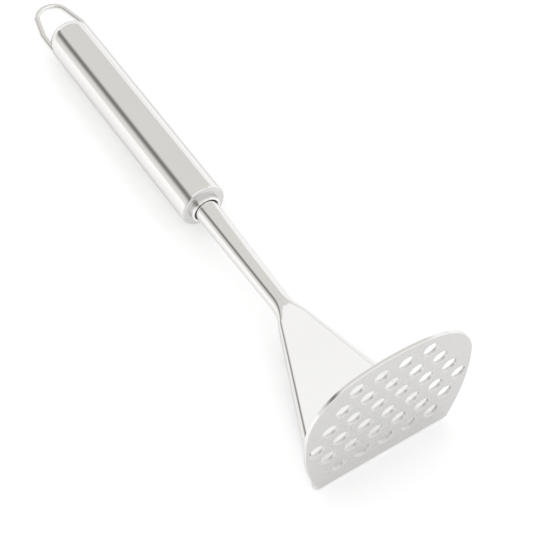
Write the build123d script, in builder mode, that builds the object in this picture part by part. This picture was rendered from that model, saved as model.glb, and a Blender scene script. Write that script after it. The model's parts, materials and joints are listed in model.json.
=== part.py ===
from build123d import *
from math import acos, asin, atan2, cos, hypot, sin, tan
import os

# A potato masher of stainless steel, lying on a table on the bent edge of its
# head and on the end of its handle. Lengths are in millimetres.

# Head: one sheet, bent between the perforated plate and the slanted fan
sheet_thickness = 1.5
bend_radius = 3.0          # outside of the bend
chord_width = 65.0         # the plate's straight edge
plate_width = 79.2
plate_depth = 74.6
widest_depth = 40.0        # how far from the straight edge the plate is widest
far_edge_radius = 75.0     # the long arc opposite the straight edge
plate_corner_radius = 28.0
edge_rounding = 0.5

# Round holes in staggered rows, as many as the plate holds
hole_diameter = 7.0
hole_pitch = 11.4
first_row_depth = 15.3     # from the straight edge to the first row's middles
row_pitch_share = 0.866    # of the pitch along a row, for an even triangular pattern
hole_margin = 1.2          # least metal between a hole and the plate's edge
hole_rounding = 0.3

# Fan: flat web with edges rolled back, narrowing up to the neck
fan_height = 68.0
fan_top_width = 14.4
fan_top_depth = 5.5
roll_height = 17.0         # below this height the rolled edges fade out
roll_depth = 4.2
roll_wall = 1.5
roll_round_share = 0.87    # a rolled edge's outer radius, of half its depth

# Neck: tapered tube, pressed flat where it meets the fan
neck_offset = 17.25        # from the straight edge to the neck's axis
neck_top_diameter = 11.2
neck_low_diameter = 9.3
neck_wall = 1.2
neck_press_height = 12.0   # length of the stretch that is pressed flat
neck_inside_handle = 45.0

# Handle
handle_height = 140.0      # from the working face to the handle's lower end
handle_diameter = 22.0
handle_length = 122.6      # up to where the end starts to curve
handle_wall = 1.0
base_rounding = 1.5
base_length = 6.0
cap_length = 8.0
cap_rounding = 8.0
crown_rise = 1.4           # how far the crown stands above the rounded shoulder
spigot_length = 10.0
spigot_bore = 12.0
bush_length = 8.0

# Collar around the neck at the handle's lower end
collar_gap = 0.35          # between the neck and the collar all round
collar_wall = 1.35
collar_projection = 2.4
collar_seat = 3.0
collar_rounding = 0.5

# Hanging loop
wire_diameter = 3.0
loop_rise = 20.25          # from the crown to the top of the wire
bow_radius = 7.85          # of the wire's middle, round the top
knee_rise = 1.3            # from the crown to where the legs turn inwards
knee_radius = 6.0
leg_proud = 0.8            # how far a leg stands out of the handle's side
leg_seat = 0.6             # how deep a leg's foot sits below the start of the curved end

# Fits
fit_clearance = 0.05
overrun = 1.0              # how far a cutter runs past the metal it cuts

# Places along the neck's pressed stretch, from its upper end to the fan. The
# width grows by the first share, the depth shrinks by the second, and the
# section moves forward by the third share of the shrinkage.
press_place_shares = (0.0, 0.25, 0.5, 0.75, 1.0)
press_width_shares = (0.0, 0.02, 0.15, 0.47, 1.0)
press_depth_shares = (0.0, 0.03, 0.25, 0.68, 1.0)
press_shift_shares = (0.0, 0.015, 0.045, 0.05, 0.0)
press_round_shares = (0.98, 0.97, 0.95, 0.91, roll_round_share)   # corner radius, of half the depth

# The fan leans so that its front face meets the front of the flattened neck
fan_front = neck_offset + fan_top_depth / 2
lean = acos(sheet_thickness / hypot(fan_height, fan_front)) - atan2(fan_height, fan_front)
web_depth = sheet_thickness / cos(lean)

# Middle of the bend, seen from the side, and the height where the fan starts above it
bend_z = bend_radius
bend_x = bend_radius / cos(lean) + bend_radius * tan(lean)
fan_low = bend_z + bend_radius * sin(lean)

# Places on the handle
handle_radius = handle_diameter / 2
handle_bore_radius = handle_radius - handle_wall
shoulder_height = handle_height + handle_length
shoulder_x = neck_offset - handle_radius + cap_rounding
crown_height = shoulder_height + cap_rounding + crown_rise
wire_radius = wire_diameter / 2
loop_height = crown_height + loop_rise
wire_top = loop_height - wire_radius

# The table touches the outside of the bend and the rounded end of the handle
span = hypot(shoulder_x - bend_x, shoulder_height - bend_z)
rise = atan2(shoulder_x - bend_x, shoulder_height - bend_z)
tilt = rise - asin((cap_rounding - bend_radius) / span)

# Directions of the tool when it lies down: depth of the plate, width, handle
depth_way = Vector(sin(tilt), 0, cos(tilt))
width_way = Vector(0, -1, 0)
handle_way = Vector(cos(tilt), 0, -sin(tilt))

# The tool's own corner, so that the box of the lying tool is centred on X and stands on Z = 0
back_x = bend_x * sin(tilt) + bend_z * cos(tilt) - bend_radius
front_x = neck_offset * sin(tilt) + wire_top * cos(tilt) + wire_radius
corner = Vector(-(back_x + front_x) / 2, 0, bend_radius - bend_x * cos(tilt) + bend_z * sin(tilt))


def place(depth, height):
    """A point in the tool's middle plane, by depth from the straight edge and height."""
    return corner + depth_way * depth + handle_way * height


# Planes of the tool: level sections, and the middle and front views of sheet and neck
level = Plane(origin=place(0, 0), x_dir=depth_way, z_dir=handle_way)
side = Plane(origin=place(0, 0), x_dir=depth_way, z_dir=Vector(0, 1, 0))
neck_side = Plane(origin=place(neck_offset, 0), x_dir=depth_way, z_dir=Vector(0, 1, 0))
neck_front = Plane(origin=place(neck_offset, 0), x_dir=width_way, z_dir=depth_way)
neck_axis = Axis(place(neck_offset, 0), handle_way)

os.makedirs("parts", exist_ok=True)


def front_face(height):
    """Depth of the fan's front face at a height."""
    return height * tan(lean) + web_depth


def fan_width(height):
    return chord_width - (chord_width - fan_top_width) * (height - fan_low) / (fan_height - fan_low)


def neck_radius(height):
    taper = (neck_top_diameter - neck_low_diameter) / (handle_height - fan_height - neck_press_height)
    return (neck_low_diameter + taper * (height - fan_height - neck_press_height)) / 2


# Fan: level sections from the bend up to the neck, hollowed from behind
fan_sections = (
    (fan_low, web_depth, edge_rounding),
    (roll_height, roll_depth, roll_depth / 2 * roll_round_share),
    (fan_height, fan_top_depth, fan_top_depth / 2 * roll_round_share),
)

with BuildPart() as fan:
    for height, depth, rounding in fan_sections:
        with BuildSketch(level.offset(height)):
            with Locations((front_face(height) - depth / 2, 0)):
                RectangleRounded(depth, fan_width(height), rounding)
    loft(ruled=True)

with BuildPart() as fan_hollow:
    for height in (fan_low, roll_height, fan_height + overrun):
        with BuildSketch(level.offset(height)):
            with Locations((front_face(height) - web_depth, 0)):
                hollow_width = fan_width(height) - 2 * roll_wall
                Rectangle(fan_top_depth + overrun, hollow_width, align=(Align.MAX, Align.CENTER))
    loft(ruled=True)

# Plate: three arcs and the straight edge, with the far corners rounded
side_rise = (plate_width - chord_width) / 2
side_arc_radius = ((widest_depth - bend_x) ** 2 + side_rise**2) / (2 * side_rise)
row_pitch = hole_pitch * row_pitch_share

with BuildSketch() as plate_outline:
    with Locations((plate_depth - far_edge_radius, 0)):
        Circle(far_edge_radius)
    for way in (1, -1):
        with Locations((widest_depth, way * (plate_width / 2 - side_arc_radius))):
            Circle(side_arc_radius, mode=Mode.INTERSECT)
    with Locations((bend_x, 0)):
        Rectangle(plate_depth, plate_width, align=(Align.MIN, Align.CENTER), mode=Mode.INTERSECT)
    fillet(vertices().sort_by(Axis.X)[-2:], plate_corner_radius)

# Middles of the holes: every second row is shifted by half a pitch, and a hole needs its margin
plate_face = plate_outline.sketch.face()
rows = int((plate_depth - first_row_depth) / row_pitch) + 1
half_row = int(plate_width / 2 / hole_pitch) + 1
hole_spots = []
for row in range(rows):
    for step in range(-half_row, half_row + 1):
        spot = (first_row_depth + row * row_pitch, (step + row % 2 / 2) * hole_pitch)
        edge_distance = plate_face.outer_wire().distance_to(Vertex(*spot))
        if plate_face.is_inside(spot) and edge_distance >= hole_diameter / 2 + hole_margin:
            hole_spots.append(spot)

with BuildPart() as plate:
    with BuildSketch(level):
        add(plate_outline.sketch)
        with Locations(*hole_spots):
            Circle(hole_diameter / 2, mode=Mode.SUBTRACT)
    extrude(amount=sheet_thickness)
    round_edges = edges().filter_by(GeomType.CIRCLE)
    fillet(round_edges.filter_by(lambda e: e.radius < hole_diameter), hole_rounding)
    outline_edges = edges().filter_by(GeomType.CIRCLE).filter_by(lambda e: e.radius > hole_diameter)
    fillet(outline_edges, edge_rounding)

# Bend: the stretch of sheet between plate and fan
with BuildPart() as bend:
    with BuildSketch(side):
        with BuildLine():
            outer_low = (bend_x, 0)
            outer_high = (bend_x - bend_radius * cos(lean), fan_low)
            inner_radius = bend_radius - sheet_thickness
            inner_low = (bend_x, sheet_thickness)
            inner_high = (bend_x - inner_radius * cos(lean), bend_z + inner_radius * sin(lean))
            RadiusArc(outer_low, outer_high, bend_radius)
            Line(outer_high, (front_face(fan_low), fan_low))
            Line((front_face(fan_low), fan_low), inner_high)
            RadiusArc(inner_high, inner_low, -inner_radius)
            Line(inner_low, outer_low)
        make_face()
    extrude(amount=chord_width / 2, both=True)

with BuildPart() as masher_sheet:
    add(fan.part)
    add(fan_hollow.part, mode=Mode.SUBTRACT)
    add(bend.part)
    add(plate.part)
masher_sheet.part.label = "masher_sheet"
export_step(masher_sheet.part, "parts/masher_sheet.step")

# Neck: a round tube that tapers, then is pressed flat to meet the fan
press_top = fan_height + neck_press_height
flattening = neck_low_diameter - fan_top_depth


def neck_solid(wall, extra):
    """The neck's outer shape, or its hollow when a wall is taken off all round."""
    with BuildPart() as pressed:
        shares = zip(
            press_place_shares, press_width_shares, press_depth_shares, press_shift_shares, press_round_shares
        )
        for place_share, width_share, depth_share, shift_share, round_share in shares:
            height = press_top - neck_press_height * place_share
            round_width = 2 * neck_radius(height)
            width = round_width + (fan_top_width - round_width) * width_share - 2 * wall
            depth = round_width + (fan_top_depth - round_width) * depth_share - 2 * wall
            with BuildSketch(level.offset(height)):
                with Locations((neck_offset + flattening * shift_share, 0)):
                    RectangleRounded(depth, width, min(width, depth) / 2 * round_share)
        loft()
    with BuildPart() as whole:
        add(pressed.part)
        with BuildSketch(neck_side):
            with BuildLine():
                top = handle_height + neck_inside_handle
                Polyline(
                    (0, press_top),
                    (neck_radius(press_top) - wall, press_top),
                    (neck_top_diameter / 2 - wall, handle_height),
                    (neck_top_diameter / 2 - wall, top + extra),
                    (0, top + extra),
                    close=True,
                )
            make_face()
        revolve(axis=neck_axis)
    return whole.part


with BuildPart() as neck_tube:
    add(neck_solid(0, 0))
    add(neck_solid(neck_wall, overrun), mode=Mode.SUBTRACT)
neck_tube.part.label = "neck_tube"
export_step(neck_tube.part, "parts/neck_tube.step")

# Handle, all turned about the neck's axis: first radius, then height
neck_hole_radius = neck_top_diameter / 2 + fit_clearance
spigot_radius = handle_bore_radius - fit_clearance
collar_top = handle_height + collar_seat
collar_bore_radius = neck_top_diameter / 2 + collar_gap
collar_radius = collar_bore_radius + collar_wall
base_top = handle_height + base_length
tube_top = shoulder_height - cap_length
neck_top = handle_height + neck_inside_handle

with BuildPart() as neck_collar:
    with BuildSketch(neck_side):
        with Locations((collar_bore_radius, collar_top)):
            Rectangle(collar_wall, collar_seat + collar_projection, align=(Align.MIN, Align.MAX))
        fillet(vertices().group_by(Axis.Y)[0], collar_rounding)
    revolve(axis=neck_axis)
neck_collar.part.label = "neck_collar"
export_step(neck_collar.part, "parts/neck_collar.step")

with BuildPart() as handle_base:
    with BuildSketch(neck_side):
        with Locations((neck_hole_radius, handle_height)):
            Rectangle(handle_radius - neck_hole_radius, base_length, align=(Align.MIN, Align.MIN))
        with Locations((neck_hole_radius, base_top)):
            Rectangle(spigot_radius - neck_hole_radius, spigot_length, align=(Align.MIN, Align.MIN))
        fillet(vertices().group_by(Axis.Y)[0].sort_by(Axis.X)[-1], base_rounding)
        with Locations((0, handle_height)):
            seat_radius = collar_radius + fit_clearance
            Rectangle(seat_radius, collar_seat, align=(Align.MIN, Align.MIN), mode=Mode.SUBTRACT)
    revolve(axis=neck_axis)
handle_base.part.label = "handle_base"
export_step(handle_base.part, "parts/handle_base.step")

with BuildPart() as handle_tube:
    with BuildSketch(neck_side):
        with Locations((handle_bore_radius, base_top)):
            Rectangle(handle_wall, tube_top - base_top, align=(Align.MIN, Align.MIN))
    revolve(axis=neck_axis)
handle_tube.part.label = "handle_tube"
export_step(handle_tube.part, "parts/handle_tube.step")

with BuildPart() as neck_bush:
    with BuildSketch(neck_side):
        with Locations((neck_hole_radius, neck_top)):
            Rectangle(spigot_radius - neck_hole_radius, bush_length, align=(Align.MIN, Align.MAX))
    revolve(axis=neck_axis)
neck_bush.part.label = "neck_bush"
export_step(neck_bush.part, "parts/neck_bush.step")

# Cap: spigot, full width, rounded shoulder and crown, with a groove in its side for each leg
shoulder_radius = handle_radius - cap_rounding
dome_height = cap_rounding + crown_rise
crown_radius = (shoulder_radius**2 - cap_rounding**2 + dome_height**2) / (2 * crown_rise)
crown_middle = crown_height - crown_radius
crown_turn = atan2(shoulder_radius, shoulder_height - crown_middle)
crown_edge = (crown_radius * sin(crown_turn), crown_middle + crown_radius * cos(crown_turn))
leg_foot = shoulder_height - leg_seat
leg_reach = handle_radius + leg_proud - wire_radius

with BuildPart() as handle_cap:
    with BuildSketch(neck_side):
        with BuildLine():
            RadiusArc((handle_radius, shoulder_height), crown_edge, -cap_rounding)
            RadiusArc(crown_edge, (0, crown_height), -crown_radius)
            Polyline(
                (0, crown_height),
                (0, tube_top),
                (spigot_bore / 2, tube_top),
                (spigot_bore / 2, tube_top - spigot_length),
                (spigot_radius, tube_top - spigot_length),
                (spigot_radius, tube_top),
                (handle_radius, tube_top),
                (handle_radius, shoulder_height),
            )
        make_face()
    revolve(axis=neck_axis)
    with BuildSketch(level.offset(leg_foot)):
        with Locations((neck_offset, leg_reach), (neck_offset, -leg_reach)):
            Circle(wire_radius + fit_clearance)
    extrude(amount=crown_height + overrun - leg_foot, mode=Mode.SUBTRACT)
handle_cap.part.label = "handle_cap"
export_step(handle_cap.part, "parts/handle_cap.step")

# Hanging loop: one wire, whose legs lean in above their knees and meet in a bow
knee_height = crown_height + knee_rise
bow_drop = wire_top - bow_radius - knee_height
leg_lean = acos(bow_radius / hypot(leg_reach, bow_drop)) - atan2(bow_drop, leg_reach)
legs_meet = knee_height + leg_reach / tan(leg_lean)

with BuildPart() as hanging_loop:
    with BuildLine(neck_front):
        FilletPolyline(
            (leg_reach, leg_foot),
            (leg_reach, knee_height),
            (0, legs_meet),
            (-leg_reach, knee_height),
            (-leg_reach, leg_foot),
            radius=(knee_radius, bow_radius, knee_radius),
        )
    with BuildSketch(level.offset(leg_foot)):
        with Locations((neck_offset, leg_reach)):
            Circle(wire_radius)
    sweep()
hanging_loop.part.label = "hanging_loop"
export_step(hanging_loop.part, "parts/hanging_loop.step")
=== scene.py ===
import json
from math import acos, atan2, cos, degrees, hypot, pi, radians, sin, tan

import bmesh
import bpy
from mathutils import Matrix, Vector


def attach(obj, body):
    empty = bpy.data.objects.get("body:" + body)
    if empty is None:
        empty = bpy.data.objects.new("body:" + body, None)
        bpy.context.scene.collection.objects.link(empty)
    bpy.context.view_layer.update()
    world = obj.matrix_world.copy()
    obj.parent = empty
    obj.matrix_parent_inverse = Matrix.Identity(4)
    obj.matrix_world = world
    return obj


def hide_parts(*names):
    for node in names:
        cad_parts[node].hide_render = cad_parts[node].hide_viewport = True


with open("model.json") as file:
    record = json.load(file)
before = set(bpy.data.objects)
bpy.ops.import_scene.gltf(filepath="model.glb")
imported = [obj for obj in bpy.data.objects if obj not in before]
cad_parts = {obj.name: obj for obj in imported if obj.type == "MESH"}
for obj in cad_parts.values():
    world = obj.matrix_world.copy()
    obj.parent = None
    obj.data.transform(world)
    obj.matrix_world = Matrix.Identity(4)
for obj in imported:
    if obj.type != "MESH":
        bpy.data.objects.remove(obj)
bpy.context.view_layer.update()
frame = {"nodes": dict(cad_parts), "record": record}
mm = 0.001

# The masher is modelled standing on its plate, in millimetres: depth from the straight edge,
# width across the head, height along the handle. One matrix lays each piece down.
faceDepth = 41.626  # how far from the straight edge the working face's mount lies
weldGap = 0.0005  # points closer than this are one
mounts = {mount["name"]: mount for mount in frame["record"]["mounts"]}
handleWay = -Vector(mounts["working_face"]["axis"]).normalized()
widthWay = Vector((0, -1, 0))
depthWay = widthWay.cross(handleWay)
corner = Vector(mounts["working_face"]["pos_m"]) - depthWay * faceDepth * mm
layDown = Matrix.Translation(corner) @ Matrix((depthWay, widthWay, handleWay)).transposed().to_4x4()
layDown = layDown @ Matrix.Scale(mm, 4)


def finishPiece(bm, name, coats, node, sharpAngle=35):
    # lays the mesh down, shades it and puts it in its CAD node's place
    bmesh.ops.transform(bm, matrix=layDown, verts=bm.verts)
    bmesh.ops.recalc_face_normals(bm, faces=bm.faces)
    mesh = bpy.data.meshes.new(name)
    bm.to_mesh(mesh)
    bm.free()
    mesh.shade_smooth()
    mesh.set_sharp_from_angle(angle=radians(sharpAngle))
    piece = bpy.data.objects.new(name, mesh)
    bpy.context.scene.collection.objects.link(piece)
    for coat in coats:
        mesh.materials.append(coat)
    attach(piece, "root")
    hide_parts(node)
    return piece


def arc(middle, radius, start, end, steps):
    # points on a round stretch, angles in radians from the first axis to the second
    turns = [start + (end - start) * step / steps for step in range(steps + 1)]
    return [(middle[0] + radius * cos(turn), middle[1] + radius * sin(turn)) for turn in turns]


def wrapGrid(bm, rows, placeAt):
    # a grid whose rows and columns are moved to placeAt(row, column)
    columns = len(placeAt(0))
    made = bmesh.ops.create_grid(bm, x_segments=columns - 1, y_segments=rows - 1, size=1)["verts"]
    places = [placeAt(row) for row in range(rows)]
    for index, vert in enumerate(made):
        vert.co = places[index // columns][index % columns]


# Steel: four finishes, one of them darkened with painted shade, and the grain that they share
steel = {
    "polishedSteel": {
        "colour": (0.90, 0.893, 0.882),
        "roughness": 0.09,
        "stretch": (3000, 300, 300),
        "variation": 0.5,
        "bump": 0.05,
    },
    "satinSteel": {
        "colour": (0.91, 0.904, 0.896),
        "roughness": 0.17,
        "stretch": (1600, 1600, 1600),
        "variation": 0.5,
        "bump": 0.1,
    },
    # painted shade: this steel's darker colour stands in for the shaded table that the plate's flat
    # faces reflect; its grain and roughness are a brushed finish
    "paintedShadeBrushedSteel": {
        "colour": (0.70, 0.695, 0.69),
        "roughness": 0.26,
        "stretch": (400, 400, 2600),
        "variation": 0.6,
        "bump": 0.2,
    },
    "punchedSteel": {
        "colour": (0.86, 0.855, 0.85),
        "roughness": 0.5,
        "stretch": (3000, 900, 900),
        "variation": 0.5,
        "bump": 0.3,
    },
}
steelLook = {
    "edgeTint": (0.72, 0.715, 0.71, 1),  # steel darkens near grazing
    "grainDetail": 4.0,
    "cloudScale": 28.0,
    "cloudDetail": 3.0,
    "toneShift": -0.06,
    "reliefDepth": 0.02,
}


def grainGroup():
    # fine grain that changes roughness, height and brightness a little over the surface
    group = bpy.data.node_groups.new("steelGrain", "ShaderNodeTree")
    face = group.interface
    face.new_socket("Stretch", in_out="INPUT", socket_type="NodeSocketVector")
    face.new_socket("Roughness", in_out="INPUT", socket_type="NodeSocketFloat")
    face.new_socket("Variation", in_out="INPUT", socket_type="NodeSocketFloat")
    face.new_socket("Colour", in_out="INPUT", socket_type="NodeSocketColor")
    face.new_socket("Colour", in_out="OUTPUT", socket_type="NodeSocketColor")
    face.new_socket("Roughness", in_out="OUTPUT", socket_type="NodeSocketFloat")
    face.new_socket("Height", in_out="OUTPUT", socket_type="NodeSocketFloat")
    nodes, links = group.nodes, group.links
    given, result = nodes.new("NodeGroupInput"), nodes.new("NodeGroupOutput")
    coords = nodes.new("ShaderNodeTexCoord")
    mapping = nodes.new("ShaderNodeMapping")
    links.new(coords.outputs["Object"], mapping.inputs["Vector"])
    links.new(given.outputs["Stretch"], mapping.inputs["Scale"])
    grain = nodes.new("ShaderNodeTexNoise")
    grain.inputs["Scale"].default_value = 1.0
    grain.inputs["Detail"].default_value = steelLook["grainDetail"]
    links.new(mapping.outputs["Vector"], grain.inputs["Vector"])
    clouds = nodes.new("ShaderNodeTexNoise")
    clouds.inputs["Scale"].default_value = steelLook["cloudScale"]
    clouds.inputs["Detail"].default_value = steelLook["cloudDetail"]
    links.new(coords.outputs["Object"], clouds.inputs["Vector"])
    both = nodes.new("ShaderNodeMath")
    both.operation = "ADD"
    links.new(grain.outputs["Fac"], both.inputs[0])
    links.new(clouds.outputs["Fac"], both.inputs[1])
    centred = nodes.new("ShaderNodeMath")
    centred.operation = "SUBTRACT"
    centred.inputs[1].default_value = 1.0
    links.new(both.outputs["Value"], centred.inputs[0])
    spread = nodes.new("ShaderNodeMath")
    spread.operation = "MULTIPLY"
    links.new(centred.outputs["Value"], spread.inputs[0])
    links.new(given.outputs["Variation"], spread.inputs[1])
    factor = nodes.new("ShaderNodeMath")
    factor.operation = "ADD"
    factor.inputs[1].default_value = 1.0
    links.new(spread.outputs["Value"], factor.inputs[0])
    rough = nodes.new("ShaderNodeMath")
    rough.operation = "MULTIPLY"
    links.new(given.outputs["Roughness"], rough.inputs[0])
    links.new(factor.outputs["Value"], rough.inputs[1])
    tone = nodes.new("ShaderNodeMath")
    tone.operation = "MULTIPLY_ADD"
    tone.inputs[1].default_value = steelLook["toneShift"]
    tone.inputs[2].default_value = 1.0
    links.new(spread.outputs["Value"], tone.inputs[0])
    colour = nodes.new("ShaderNodeVectorMath")
    colour.operation = "SCALE"
    links.new(given.outputs["Colour"], colour.inputs[0])
    links.new(tone.outputs["Value"], colour.inputs["Scale"])
    links.new(colour.outputs["Vector"], result.inputs["Colour"])
    links.new(rough.outputs["Value"], result.inputs["Roughness"])
    links.new(grain.outputs["Fac"], result.inputs["Height"])
    return group


steelGrain = grainGroup()


def steelMaterial(name):
    finish = steel[name]
    material = bpy.data.materials.new(name)
    material.use_nodes = True
    nodes, links = material.node_tree.nodes, material.node_tree.links
    shader = nodes["Principled BSDF"]
    shader.inputs["Metallic"].default_value = 1.0
    shader.inputs["Specular Tint"].default_value = steelLook["edgeTint"]
    grain = nodes.new("ShaderNodeGroup")
    grain.node_tree = steelGrain
    grain.inputs["Stretch"].default_value = finish["stretch"]
    grain.inputs["Roughness"].default_value = finish["roughness"]
    grain.inputs["Variation"].default_value = finish["variation"]
    grain.inputs["Colour"].default_value = (*finish["colour"], 1)
    relief = nodes.new("ShaderNodeBump")
    relief.inputs["Strength"].default_value = finish["bump"]
    relief.inputs["Distance"].default_value = steelLook["reliefDepth"] * mm
    links.new(grain.outputs["Colour"], shader.inputs["Base Color"])
    links.new(grain.outputs["Roughness"], shader.inputs["Roughness"])
    links.new(grain.outputs["Height"], relief.inputs["Height"])
    links.new(relief.outputs["Normal"], shader.inputs["Normal"])
    return material


polishedSteel = steelMaterial("polishedSteel")
satinSteel = steelMaterial("satinSteel")
# the darker steel, whose colour is painted shade
paintedShadeBrushedSteel = steelMaterial("paintedShadeBrushedSteel")
punchedSteel = steelMaterial("punchedSteel")
print("materials made")

# Masher sheet: perforated plate, bend and fan from one sheet
sheet = {
    "thickness": 1.5,
    "bendRadius": 3.0,
    "chordWidth": 65.0,
    "plateWidth": 79.2,
    "plateDepth": 74.6,
    "widestDepth": 40.0,
    "farRadius": 75.0,
    "cornerRadius": 28.0,
    "holeDiameter": 7.0,
    "holePitch": 11.4,
    "firstRow": 15.3,
    "rowShare": 0.866,
    "holesInRows": (5, 6, 7, 6, 5, 4),
    "fanHeight": 68.0,
    "fanTopWidth": 14.4,
    "fanTopDepth": 5.5,
    "rollHeight": 17.0,
    "rollDepth": 4.2,
    "rollRoundShare": 0.87,
    "lowRollShare": 1.85,
    "curvedShare": 0.55,  # of the rolled edge's metal, what is curved where it is rolled right back
    "edgeRounding": 0.45,
    "holeRounding": 0.2,
    "roundingSteps": 3,
    "rimAngle": 60,  # edges sharper than this, in degrees, are rounded
    "topMargin": 2.0,  # edges this near the fan's top stay sharp, because the neck goes on there
    "holeSegments": 36,
    "punchedReach": 0.6,  # of the hole's diameter, as far as its punched finish goes
    "bendSteps": 14,
    "fanSteps": 56,
    "webColumns": 12,
    "rollColumns": 9,
    "flangeColumns": 3,
    "sharpAngle": 50,
}
neck = {
    "offset": 17.25,  # from the straight edge to the neck's axis
    "topRadius": 5.6,
    "lowRadius": 4.65,
    "wall": 1.2,
    "pressHeight": 12.0,
    "insideHandle": 45.0,
    "creaseLength": 1.2,
    "sinkStart": 0.15,  # how far into the pressed length its back starts to sink
    "widening": 2.7,
    "cornerSteps": 14,
    "pressSteps": 24,
    "tubeSteps": 24,
}
fanFront = neck["offset"] + sheet["fanTopDepth"] / 2
fanLength = hypot(sheet["fanHeight"], fanFront)
lean = acos(sheet["thickness"] / fanLength) - atan2(sheet["fanHeight"], fanFront)
webDepth = sheet["thickness"] / cos(lean)
bendX = sheet["bendRadius"] / cos(lean) + sheet["bendRadius"] * tan(lean)
innerRadius = sheet["bendRadius"] - sheet["thickness"]
fanLow = sheet["bendRadius"] + innerRadius * sin(lean)
plateZone = 2 * sheet["thickness"]  # what lies below this height is the plate


def frontFace(height):
    return height * tan(lean) + webDepth


def plateOutline(steps=26):
    # the plate's edge from one end of the straight edge round to the other
    sideRise = (sheet["plateWidth"] - sheet["chordWidth"]) / 2
    sideRadius = ((sheet["widestDepth"] - bendX) ** 2 + sideRise**2) / (2 * sideRise)
    sideMiddle = Vector((sheet["widestDepth"], sheet["plateWidth"] / 2 - sideRadius))
    farMiddle = Vector((sheet["plateDepth"] - sheet["farRadius"], 0))
    gap = sideMiddle - farMiddle
    sideReach = sideRadius - sheet["cornerRadius"]
    farReach = sheet["farRadius"] - sheet["cornerRadius"]
    along = (farReach**2 - sideReach**2 + gap.length_squared) / (2 * gap.length)
    across = (farReach**2 - along**2) ** 0.5
    way = gap.normalized()
    cornerMiddle = farMiddle + way * along + Vector((-way.y, way.x)) * across
    if cornerMiddle.x < bendX:
        cornerMiddle = farMiddle + way * along - Vector((-way.y, way.x)) * across
    sideTurn = atan2(*(cornerMiddle - sideMiddle).yx)
    farTurn = atan2(*(cornerMiddle - farMiddle).yx)
    startTurn = atan2(sheet["chordWidth"] / 2 - sideMiddle.y, bendX - sideMiddle.x)
    half = arc(sideMiddle, sideRadius, startTurn, sideTurn, steps)[1:]
    half += arc(cornerMiddle, sheet["cornerRadius"], sideTurn, farTurn, steps)[1:]
    half += arc(farMiddle, sheet["farRadius"], farTurn, 0, steps)[1:]
    return half + [(x, -y) for x, y in reversed(half[:-1])]


def shareOut():
    # the columns of half a section, from the middle: the flat web, the roll and the flange behind it
    web, roll, flange = sheet["webColumns"], sheet["rollColumns"], sheet["flangeColumns"]
    curved = sheet["curvedShare"]
    shares = [("web", (step + 1) / web) for step in range(web)]
    shares += [("roll", curved * (step + 1) / roll) for step in range(roll)]
    shares += [("roll", curved + (1 - curved) * (step + 1) / flange) for step in range(flange)]
    return shares


columnShares = shareOut()
leastFade = 0.002  # keeps the fan's foot from being quite flat


def fanSection(height):
    # half of the front surface at a height: how far to the side, and how far back
    reach = (height - fanLow) / (sheet["fanHeight"] - fanLow)
    halfWidth = (sheet["chordWidth"] + (sheet["fanTopWidth"] - sheet["chordWidth"]) * reach) / 2
    fade = min(1, max(leastFade, (height - fanLow) / (sheet["rollHeight"] - fanLow)))
    turn = pi / 2 * fade
    if fade < 1:
        depth = webDepth + (sheet["rollDepth"] - webDepth) * fade
        radius = sheet["rollDepth"] / 2 * sheet["lowRollShare"]
    else:
        climb = (height - sheet["rollHeight"]) / (sheet["fanHeight"] - sheet["rollHeight"])
        depth = sheet["rollDepth"] + (sheet["fanTopDepth"] - sheet["rollDepth"]) * climb
        share = sheet["lowRollShare"] + (sheet["rollRoundShare"] - sheet["lowRollShare"]) * climb
        radius = depth / 2 * share
    flange = (depth - webDepth * cos(turn) - radius * (1 - cos(turn))) / sin(turn)
    flatHalf = halfWidth - radius * sin(turn) - flange * cos(turn)
    points = [(0, 0)]
    for part, share in columnShares:
        if part == "web":
            points.append((share * flatHalf, 0))
            continue
        along = share * (radius * turn + flange)
        angle = min(turn, along / radius)
        rest = max(0, along - radius * turn)
        side = flatHalf + radius * sin(angle) + rest * cos(angle)
        points.append((side, radius * (1 - cos(angle)) + rest * sin(angle)))
    return points


chordHalf = [side for side, back in fanSection(fanLow)]


def sheetRow(row):
    # one row of the inner and front surface: round the bend, then up the fan
    bendSteps = sheet["bendSteps"]
    if row <= bendSteps:
        turn = (pi / 2 + lean) * row / bendSteps
        x = bendX - innerRadius * sin(turn)
        z = sheet["bendRadius"] - innerRadius * cos(turn)
        half = [(x, side, z) for side in chordHalf]
    else:
        height = fanLow + (sheet["fanHeight"] - fanLow) * (row - bendSteps) / sheet["fanSteps"]
        half = [(frontFace(height) - back, side, height) for side, back in fanSection(height)]
    return [(x, -side, z) for x, side, z in reversed(half[1:])] + half


rowPitch = sheet["holePitch"] * sheet["rowShare"]
holeSpots = [
    (sheet["firstRow"] + row * rowPitch, (step - (count - 1) / 2) * sheet["holePitch"])
    for row, count in enumerate(sheet["holesInRows"])
    for step in range(count)
]


def nearHole(item):
    middle = sum((vert.co for vert in item.verts), Vector()) / len(item.verts)
    reach = sheet["punchedReach"] * sheet["holeDiameter"]
    near = any(hypot(middle.x - x, middle.y - y) < reach for x, y in holeSpots)
    return near and middle.z < plateZone


def isRim(side):
    # a sharp edge of the sheet, below the neck
    if len(side.link_faces) != 2 or degrees(side.calc_face_angle(0)) <= sheet["rimAngle"]:
        return False
    return min(vert.co.z for vert in side.verts) < sheet["fanHeight"] - sheet["topMargin"]


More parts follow.
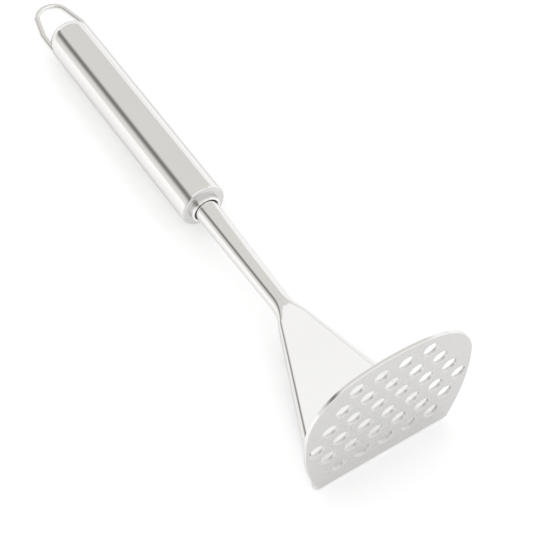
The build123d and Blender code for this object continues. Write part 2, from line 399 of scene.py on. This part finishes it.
def makeSheet():
    bm = bmesh.new()
    wrapGrid(bm, sheet["bendSteps"] + sheet["fanSteps"] + 1, sheetRow)
    chord = [Vector((bendX, side, sheet["thickness"])) for x, side, z in sheetRow(0)]
    edge = [Vector((x, y, sheet["thickness"])) for x, y in plateOutline()]
    ring = [bm.verts.new(place) for place in chord + edge]
    loops = [bm.edges.new((ring[index - 1], ring[index])) for index in range(len(ring))]
    for x, y in holeSpots:
        made = bmesh.ops.create_circle(
            bm,
            segments=sheet["holeSegments"],
            radius=sheet["holeDiameter"] / 2,
            matrix=Matrix.Translation((x, y, sheet["thickness"])),
        )
        loops += list({hole for vert in made["verts"] for hole in vert.link_edges})
    bmesh.ops.triangle_fill(bm, edges=loops, use_beauty=True, normal=(0, 0, 1))
    bmesh.ops.remove_doubles(bm, verts=bm.verts, dist=2 * weldGap)
    bmesh.ops.dissolve_degenerate(bm, edges=bm.edges, dist=20 * weldGap)
    bmesh.ops.recalc_face_normals(bm, faces=bm.faces)
    beyondBend = [face for face in bm.faces if face.calc_center_median().x > sheet["widestDepth"]]
    if sum(face.normal.z * face.calc_area() for face in beyondBend) < 0:
        bmesh.ops.reverse_faces(bm, faces=bm.faces)  # the sheet gets its thickness on the outside
    bmesh.ops.solidify(bm, geom=bm.faces, thickness=sheet["thickness"])
    for atHole, offset in ((True, sheet["holeRounding"]), (False, sheet["edgeRounding"])):
        bmesh.ops.bevel(
            bm,
            geom=[side for side in bm.edges if isRim(side) and nearHole(side) == atHole],
            offset=offset,
            offset_type="OFFSET",
            affect="EDGES",
            segments=sheet["roundingSteps"],
            profile=0.5,
            material=-1,
            clamp_overlap=True,
        )
    level = 0.98  # the least share of the normal that is upright where the plate is flat
    # the plate's flat faces get the darker steel, whose colour is painted shade for the shaded table
    # they reflect
    for face in bm.faces:
        if abs(face.normal.z) > level and face.calc_center_median().z < plateZone:
            face.material_index = 1
        elif nearHole(face):
            face.material_index = 2
    coats = [satinSteel, paintedShadeBrushedSteel, punchedSteel]
    piece = finishPiece(bm, "masherSheet", coats, "masher_sheet", sheet["sharpAngle"])
    even = piece.modifiers.new("evenShade", "WEIGHTED_NORMAL")
    even.keep_sharp = True
    print("sheet made", len(piece.data.polygons))


makeSheet()

# Neck: a round tube that tapers and is pressed flat where it meets the fan, up into the handle
handle = {
    "height": 140.0,
    "radius": 11.0,
    "length": 122.6,
    "wall": 1.0,
    "baseRounding": 1.5,
    "baseLength": 6.0,
    "capLength": 8.0,
    "capRounding": 8.0,
    "crownRise": 1.4,
    "spigotLength": 10.0,
    "spigotBore": 6.0,
    "fitClearance": 0.05,
    "turnSteps": 144,
    "baseSteps": 12,
    "crownSteps": 10,
    "shoulderSteps": 14,
}
pressTop = sheet["fanHeight"] + neck["pressHeight"]


def softMin(first, second, blend):
    # the smaller one, with a smooth change from one to the other
    closeness = max(0, blend - abs(first - second)) / blend
    return min(first, second) - closeness * closeness * blend / 4


def neckRow(height):
    # the neck's outline at a height, as four rounded corners
    taper = (neck["topRadius"] - neck["lowRadius"]) / (handle["height"] - pressTop)
    radius = min(neck["topRadius"], neck["lowRadius"] + taper * max(0, height - pressTop))
    press = max(0, (pressTop - height) / neck["pressHeight"])
    sink = max(0, (press - neck["sinkStart"]) / (1 - neck["sinkStart"]))
    sink = sink * sink * (3 - 2 * sink)
    halfWidth = radius + (sheet["fanTopWidth"] / 2 - radius) * press ** neck["widening"]
    front = neck["offset"] + radius
    if press > 0:
        front = softMin(front, frontFace(height), neck["creaseLength"])
    back = neck["offset"] - radius + (radius - sheet["fanTopDepth"] / 2) * sink
    halfDepth = (front - back) / 2
    rounding = min(halfDepth, halfWidth) * (1 - (1 - sheet["rollRoundShare"]) * press**2)
    points = []
    for quarter in range(4):
        middleTurn = pi / 4 + quarter * pi / 2
        x = (front + back) / 2 + (halfDepth - rounding) * (1 if cos(middleTurn) > 0 else -1)
        y = (halfWidth - rounding) * (1 if sin(middleTurn) > 0 else -1)
        points += arc((x, y), rounding, quarter * pi / 2, (quarter + 1) * pi / 2, neck["cornerSteps"])
    return [(x, y, height) for x, y in points + points[:1]]


def makeNeck():
    press, tube = neck["pressSteps"], neck["tubeSteps"]
    heights = [sheet["fanHeight"] + neck["pressHeight"] * step / press for step in range(press)]
    heights += [pressTop + (handle["height"] - pressTop) * step / tube for step in range(tube + 1)]
    heights.append(handle["height"] + neck["insideHandle"])
    bm = bmesh.new()
    wrapGrid(bm, len(heights), lambda row: neckRow(heights[row]))
    bmesh.ops.remove_doubles(bm, verts=bm.verts, dist=weldGap)
    bmesh.ops.recalc_face_normals(bm, faces=bm.faces)
    bmesh.ops.solidify(bm, geom=bm.faces, thickness=neck["wall"])
    piece = finishPiece(bm, "neckTube", [polishedSteel], "neck_tube")
    even = piece.modifiers.new("evenShade", "WEIGHTED_NORMAL")
    even.keep_sharp = True
    print("neck made")


makeNeck()


def turned(name, profile, node):
    # a piece turned about the neck's axis from points given as radius and height
    bm = bmesh.new()
    ring = [bm.verts.new((neck["offset"] + radius, 0, height)) for radius, height in profile]
    edges = [bm.edges.new((ring[index - 1], ring[index])) for index in range(len(ring))]
    if profile[0][0] == 0:
        bm.edges.remove(edges[0])
        edges = edges[1:]
    bmesh.ops.spin(
        bm,
        geom=edges + ring,
        cent=(neck["offset"], 0, 0),
        axis=(0, 0, 1),
        angle=2 * pi,
        steps=handle["turnSteps"],
        use_merge=True,
    )
    bmesh.ops.remove_doubles(bm, verts=bm.verts, dist=weldGap)
    return finishPiece(bm, name, [polishedSteel], node)


# Handle: base ring, tube and cap, flush with each other, and the collar round the neck
collar = {
    "gap": 0.35,
    "wall": 1.35,
    "projection": 2.4,
    "seat": 3.0,
    "rounding": 0.5,
    "edgeSteps": 6,
}
boreRadius = handle["radius"] - handle["wall"]
spigotRadius = boreRadius - handle["fitClearance"]
neckHole = neck["topRadius"] + handle["fitClearance"]
collarBore = neck["topRadius"] + collar["gap"]
collarRadius = collarBore + collar["wall"]
baseTop = handle["height"] + handle["baseLength"]
shoulder = handle["height"] + handle["length"]
tubeTop = shoulder - handle["capLength"]
crownHeight = shoulder + handle["capRounding"] + handle["crownRise"]


def makeBase():
    seatRadius = collarRadius + handle["fitClearance"]
    seatTop = handle["height"] + collar["seat"]
    edge = handle["baseRounding"]
    profile = [(seatRadius, seatTop), (seatRadius, handle["height"])]
    edgeMiddle = (handle["radius"] - edge, handle["height"] + edge)
    spigotTop = baseTop + handle["spigotLength"]
    profile += arc(edgeMiddle, edge, -pi / 2, 0, handle["baseSteps"])
    profile += [(handle["radius"], baseTop), (spigotRadius, baseTop)]
    profile += [(spigotRadius, spigotTop), (neckHole, spigotTop), (neckHole, seatTop)]
    piece = turned("handleBase", profile, "handle_base")
    piece.data.materials.append(paintedShadeBrushedSteel)
    shadedFaceSlope = 0.5  # faces that look more than this towards the head get the darker steel, whose colour is painted shade
    for face in piece.data.polygons:
        if -face.normal.dot(handleWay) > shadedFaceSlope:
            face.material_index = 1


def makeCollar():
    low = handle["height"] - collar["projection"]
    high = handle["height"] + collar["seat"]
    edge, steps = collar["rounding"], collar["edgeSteps"]
    profile = [(collarBore, high)]
    profile += arc((collarBore + edge, low + edge), edge, pi, 1.5 * pi, steps)
    profile += arc((collarRadius - edge, low + edge), edge, 1.5 * pi, 2 * pi, steps)
    profile.append((collarRadius, high))
    turned("neckCollar", profile, "neck_collar")


def makeTube():
    profile = [(boreRadius, baseTop), (handle["radius"], baseTop)]
    profile += [(handle["radius"], tubeTop), (boreRadius, tubeTop)]
    turned("handleTube", profile, "handle_tube")


# Hanging loop: one bent wire whose legs lean inwards above a knee
loop = {
    "wireRadius": 1.5,
    "rise": 20.25,
    "bowRadius": 7.85,
    "kneeRise": 1.3,
    "kneeRadius": 6.0,
    "legProud": 0.8,
    "legSeat": 0.6,
    "footRounding": 0.5,
    "wireSegments": 32,
    "kneeSteps": 6,
    "bowSteps": 44,
    "footSteps": 3,
    "sharpAngle": 60,
}
legReach = handle["radius"] + loop["legProud"] - loop["wireRadius"]
legFoot = shoulder - loop["legSeat"]
bowMiddle = crownHeight + loop["rise"] - loop["wireRadius"] - loop["bowRadius"]
kneeHeight = crownHeight + loop["kneeRise"]
bowRise = bowMiddle - kneeHeight
legLean = acos(loop["bowRadius"] / hypot(legReach, bowRise)) - atan2(bowRise, legReach)


def makeCap():
    rounding = handle["capRounding"]
    flatRadius = handle["radius"] - rounding
    domeHeight = rounding + handle["crownRise"]
    crownRadius = (flatRadius**2 - rounding**2 + domeHeight**2) / (2 * handle["crownRise"])
    crownMiddle = crownHeight - crownRadius
    crownTurn = atan2(shoulder - crownMiddle, flatRadius)
    profile = [(0, crownHeight)]
    profile += arc((0, crownMiddle), crownRadius, pi / 2, crownTurn, handle["crownSteps"])[1:]
    profile += arc((flatRadius, shoulder), rounding, crownTurn, 0, handle["shoulderSteps"])[1:]
    spigotLow, bore = tubeTop - handle["spigotLength"], handle["spigotBore"]
    profile += [(handle["radius"], tubeTop), (spigotRadius, tubeTop), (spigotRadius, spigotLow)]
    profile += [(bore, spigotLow), (bore, tubeTop), (0, tubeTop)]
    turned("handleCap", profile, "handle_cap")


def makeLoop():
    bm = bmesh.new()
    ring = bmesh.ops.create_circle(
        bm,
        segments=loop["wireSegments"],
        radius=loop["wireRadius"],
        matrix=Matrix.Translation((neck["offset"], legReach, legFoot)),
    )["verts"]
    rim = list({edge for vert in ring for edge in vert.link_edges})

    def runOn(edges, side, rise):
        # a straight stretch of wire
        made = bmesh.ops.extrude_edge_only(bm, edges=edges)["geom"]
        verts = {item for item in made if isinstance(item, bmesh.types.BMVert)}
        bmesh.ops.translate(bm, verts=list(verts), vec=(0, side, rise))
        fresh = [item for item in made if isinstance(item, bmesh.types.BMEdge)]
        return [edge for edge in fresh if verts.issuperset(edge.verts)]

    def bendOn(edges, middle, angle, steps):
        # a round stretch of wire about a middle, given to the side and up
        made = bmesh.ops.spin(
            bm,
            geom=edges,
            cent=(neck["offset"], *middle),
            axis=(1, 0, 0),
            angle=angle,
            steps=steps,
            use_merge=False,
        )["geom_last"]
        return [item for item in made if isinstance(item, bmesh.types.BMEdge)]

    knee, bow = loop["kneeRadius"], loop["bowRadius"]
    kneeStart = kneeHeight - knee * tan(legLean / 2)
    inward = bow * cos(legLean) - (legReach - knee * (1 - cos(legLean)))
    upward = bowMiddle + bow * sin(legLean) - (kneeStart + knee * sin(legLean))
    wire = runOn(rim, 0, kneeStart - legFoot)
    wire = bendOn(wire, (legReach - knee, kneeStart), legLean, loop["kneeSteps"])
    wire = runOn(wire, inward, upward)
    wire = bendOn(wire, (0, bowMiddle), pi - 2 * legLean, loop["bowSteps"])
    wire = runOn(wire, inward, -upward)
    wire = bendOn(wire, (knee - legReach, kneeStart), legLean, loop["kneeSteps"])
    runOn(wire, 0, legFoot - kneeStart)
    bmesh.ops.remove_doubles(bm, verts=bm.verts, dist=weldGap)
    feet = [edge for edge in bm.edges if edge.is_boundary]
    bmesh.ops.holes_fill(bm, edges=feet, sides=0)
    bmesh.ops.bevel(
        bm,
        geom=feet,
        offset=loop["footRounding"],
        affect="EDGES",
        segments=loop["footSteps"],
        profile=0.5,
        material=-1,
    )
    sharp = loop["sharpAngle"]
    finishPiece(bm, "hangingLoop", [polishedSteel], "hanging_loop", sharp)


makeBase()
makeCollar()
makeTube()
makeCap()
makeLoop()
bush = frame["nodes"]["neck_bush"]  # hidden in the handle, so it keeps its CAD shape
bush.data.materials.clear()
bush.data.materials.append(polishedSteel)
print("handle and loop made")

# Table, world and the cards that the steel reflects
studio = {
    "floorSize": 8.0,
    "floorColour": 0.94,
    "floorRoughness": 0.12,
    "floorLift": 0.19,
    "worldStrength": 1.0,
    "cardTint": (1.0, 0.98, 0.95),
    "ceiling": 1.2,
    "ceilingCorners": [(-0.06, -1.40), (1.06, -1.48), (2.88, -4.50), (2.88, 0.80), (0.34, 0.80)],
    "ceilingStops": [(0, 0.74), (1, 0.74)],
    "wallAway": 1.5,
    "wallCorners": [(-2, 0.02), (5, 0.02), (5, 2.25), (-2, 2.25)],
    "wallStops": [
        (0, 0.97),
        (0.05, 0.88),
        (0.27, 0.72),
        (0.37, 0.45),
        (0.45, 0.26),
        (0.53, 0.20),
        (0.63, 0.21),
        (0.72, 0.35),
        (0.86, 0.60),
        (1, 0.72),
    ],
}


def stageMaterial(name):
    material = bpy.data.materials.new(name)
    material.use_nodes = True
    material.node_tree.nodes.clear()
    output = material.node_tree.nodes.new("ShaderNodeOutputMaterial")
    return material, material.node_tree.nodes, material.node_tree.links, output


def makeFloor():
    material, nodes, links, output = stageMaterial("paleTable")
    surface = nodes.new("ShaderNodeBsdfPrincipled")
    surface.inputs["Base Color"].default_value = (studio["floorColour"],) * 3 + (1,)
    surface.inputs["Roughness"].default_value = studio["floorRoughness"]
    lift = nodes.new("ShaderNodeEmission")
    rays = nodes.new("ShaderNodeLightPath")
    strength = nodes.new("ShaderNodeMath")
    strength.operation = "MULTIPLY"
    strength.inputs[1].default_value = studio["floorLift"]
    seen = rays.outputs["Is Camera Ray"]
    for kind in ("Is Glossy Ray", "Is Transmission Ray"):
        either = nodes.new("ShaderNodeMath")
        either.operation = "MAXIMUM"
        links.new(seen, either.inputs[0])
        links.new(rays.outputs[kind], either.inputs[1])
        seen = either.outputs["Value"]
    total = nodes.new("ShaderNodeAddShader")
    links.new(seen, strength.inputs[0])
    links.new(strength.outputs["Value"], lift.inputs["Strength"])
    links.new(surface.outputs["BSDF"], total.inputs[0])
    links.new(lift.outputs["Emission"], total.inputs[1])
    links.new(total.outputs["Shader"], output.inputs["Surface"])
    bm = bmesh.new()
    bmesh.ops.create_grid(bm, x_segments=1, y_segments=1, size=studio["floorSize"] / 2)
    mesh = bpy.data.meshes.new("table")
    bm.to_mesh(mesh)
    bm.free()
    floor = bpy.data.objects.new("table", mesh)
    floor.data.materials.append(material)
    bpy.context.scene.collection.objects.link(floor)


def makeWorld():
    world = bpy.data.worlds.new("studio")
    bpy.context.scene.world = world
    world.use_nodes = True
    back = world.node_tree.nodes["Background"]
    back.inputs["Color"].default_value = (1, 1, 1, 1)
    back.inputs["Strength"].default_value = studio["worldStrength"]


def makeCard(name, corners, stops, along):
    # a card that only reflections see, shaded along one axis between its two ends
    material, nodes, links, output = stageMaterial(name)
    coords = nodes.new("ShaderNodeTexCoord")
    split = nodes.new("ShaderNodeSeparateXYZ")
    share = nodes.new("ShaderNodeMapRange")
    span = [place["XYZ".index(along)] for place in corners]
    share.inputs["From Min"].default_value = min(span)
    share.inputs["From Max"].default_value = max(span)
    ramp = nodes.new("ShaderNodeValToRGB")
    marks = ramp.color_ramp.elements
    marks[0].position, marks[1].position = stops[0][0], stops[-1][0]
    for position, level in stops[1:-1]:
        marks.new(position)
    for mark, (position, level) in zip(marks, stops):
        mark.color = (*(tint * level for tint in studio["cardTint"]), 1)
    glow = nodes.new("ShaderNodeEmission")
    links.new(coords.outputs["Object"], split.inputs["Vector"])
    links.new(split.outputs[along], share.inputs["Value"])
    links.new(share.outputs["Result"], ramp.inputs["Fac"])
    links.new(ramp.outputs["Color"], glow.inputs["Color"])
    links.new(glow.outputs["Emission"], output.inputs["Surface"])
    bm = bmesh.new()
    bm.faces.new([bm.verts.new(place) for place in corners])
    mesh = bpy.data.meshes.new(name)
    bm.to_mesh(mesh)
    bm.free()
    card = bpy.data.objects.new(name, mesh)
    card.data.materials.append(material)
    bpy.context.scene.collection.objects.link(card)
    card.visible_camera = card.visible_diffuse = card.visible_shadow = False
    card.visible_transmission = card.visible_volume_scatter = False


makeFloor()
makeWorld()
ceilingPlaces = [(x, y, studio["ceiling"]) for x, y in studio["ceilingCorners"]]
makeCard("ceilingCard", ceilingPlaces, studio["ceilingStops"], "X")
wallPlaces = [(x, studio["wallAway"], z) for x, z in studio["wallCorners"]]
makeCard("wallCard", wallPlaces, studio["wallStops"], "Z")
print("studio made")

# Camera at the photograph's viewing angle
view = {
    "place": (-0.37062, 0.21566, 0.55063),
    "turn": (35.7848, -1.4316, -122.9689),
    "lens": 100.5,
    "sensor": 36,
}
camera = bpy.data.objects.new("camera", bpy.data.cameras.new("camera"))
camera.location = view["place"]
camera.rotation_euler = [radians(turn) for turn in view["turn"]]
camera.data.lens = view["lens"]
camera.data.sensor_width = view["sensor"]
bpy.context.scene.collection.objects.link(camera)
bpy.context.scene.camera = camera
bpy.context.scene.view_settings.view_transform = "Standard"
